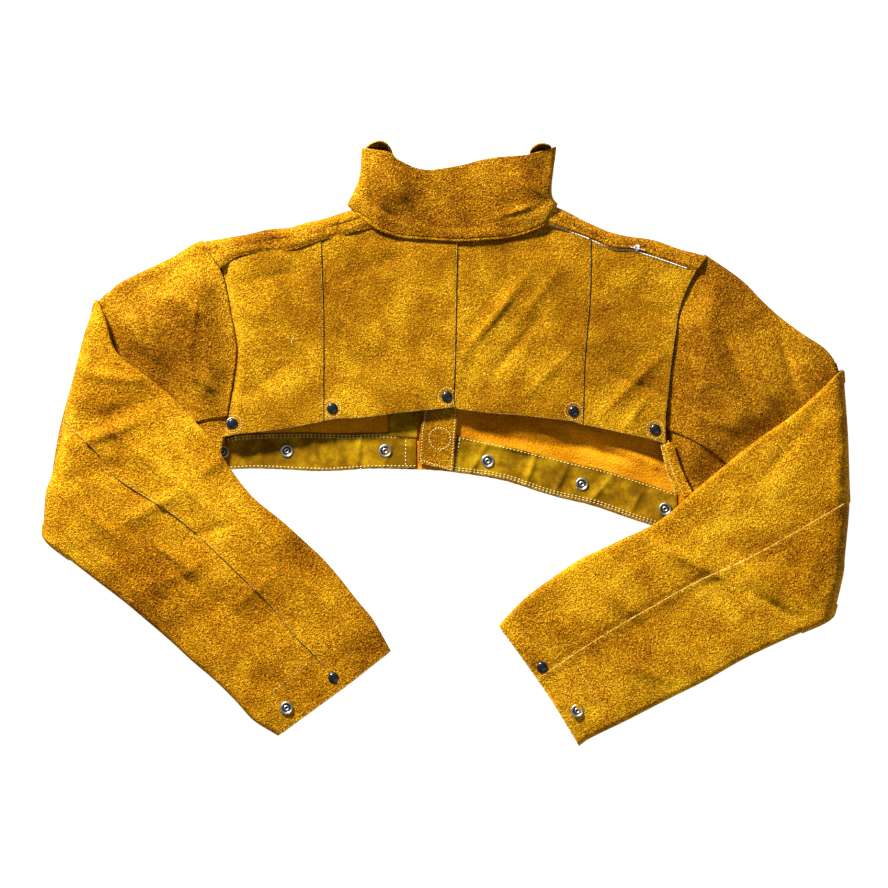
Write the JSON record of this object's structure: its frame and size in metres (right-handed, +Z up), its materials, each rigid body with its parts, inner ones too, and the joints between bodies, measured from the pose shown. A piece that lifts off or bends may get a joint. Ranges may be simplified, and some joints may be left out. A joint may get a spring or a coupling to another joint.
{
  "type": "leather welding jacket",
  "caption": "Cropped split-leather welding jacket laid flat with its back up, stand-up collar, snap-studded hems and both forearms folded over at the elbow.",
  "frame": {"origin": "centre of the footprint, on the surface that the jacket lies on", "axes": "+Z up out of the back of the jacket, +Y towards the collar, +X towards the wearer's right sleeve"},
  "size_m": [0.9712, 0.7126, 0.0411],
  "materials": {
    "suede": "golden-brown split cowhide with a rough, short nap",
    "smooth_leather": "olive-brown smooth leather, softly creased",
    "black_cap": "domed snap cap with a gloss black coat",
    "nickel": "nickel-plated snap ring"
  },
  "bodies": {
    "torso": {"back_side_left": "suede", "back_centre_left": "suede", "back_centre_right": "suede", "back_side_right": "suede", "front_left": "suede", "front_right": "suede", "yoke_left": "suede", "yoke_right": "suede", "hem_band_left": "smooth_leather", "hem_band_right": "smooth_leather", "placket_facing": "smooth_leather", "placket_tab": "suede", "back_cap_1": "black_cap", "back_cap_2": "black_cap", "back_cap_3": "black_cap", "back_cap_4": "black_cap", "back_cap_5": "black_cap", "back_socket_1": "nickel", "back_socket_2": "nickel", "back_socket_3": "nickel", "back_socket_4": "nickel", "back_socket_5": "nickel", "hem_cap_1": "black_cap", "hem_cap_2": "black_cap", "hem_cap_3": "black_cap", "hem_cap_4": "black_cap", "hem_cap_5": "black_cap", "hem_cap_6": "black_cap", "hem_socket_1": "nickel", "hem_socket_2": "nickel", "hem_socket_3": "nickel", "hem_socket_4": "nickel", "hem_socket_5": "nickel", "hem_socket_6": "nickel", "closure_cap_1": "black_cap", "closure_socket_1": "nickel", "closure_stud_1": "nickel", "closure_cap_2": "black_cap", "closure_socket_2": "nickel", "closure_stud_2": "nickel"},
    "left_arm": {"arm_back_left": "suede", "arm_front_left": "suede", "gusset_left": "suede"},
    "left_forearm": {"forearm_inner_left": "suede", "forearm_outer_left": "suede", "cuff_cap_left": "black_cap", "cuff_socket_left": "nickel", "cuff_stud_left": "nickel", "cuff_stud_back_left": "nickel"},
    "right_arm": {"arm_back_right": "suede", "arm_front_right": "suede", "gusset_right": "suede"},
    "right_forearm": {"forearm_inner_right": "suede", "forearm_outer_right": "suede", "cuff_cap_right": "black_cap", "cuff_socket_right": "nickel", "cuff_stud_right": "nickel", "cuff_stud_back_right": "nickel"},
    "collar_body": {"collar": "suede", "collar_lining": "suede"}
  },
  "joints": [
    {"name": "left_sleeve_swing", "type": "hinge", "parent": "torso", "child": "left_arm", "pos_m": [-0.28959, 0.24328, 0.011], "axis": [0, 0, -1], "range_deg": [0, 10]},
    {"name": "left_elbow_fold", "type": "hinge", "parent": "left_arm", "child": "left_forearm", "pos_m": [-0.45459, 0.03028, 0.0223], "axis": [-0.2063, -0.9785, 0], "range_deg": [0, 175]},
    {"name": "right_sleeve_swing", "type": "hinge", "parent": "torso", "child": "right_arm", "pos_m": [0.31441, 0.23128, 0.011], "axis": [0, 0, 1], "range_deg": [0, 10]},
    {"name": "right_elbow_fold", "type": "hinge", "parent": "right_arm", "child": "right_forearm", "pos_m": [0.48091, -0.05622, 0.0223], "axis": [0.0318, 0.9995, 0], "range_deg": [0, 175]},
    {"name": "collar_fold", "type": "hinge", "parent": "torso", "child": "collar_body", "pos_m": [0.01641, 0.24834, 0.022], "axis": [1, 0, 0], "range_deg": [0, 90]}
  ]
}
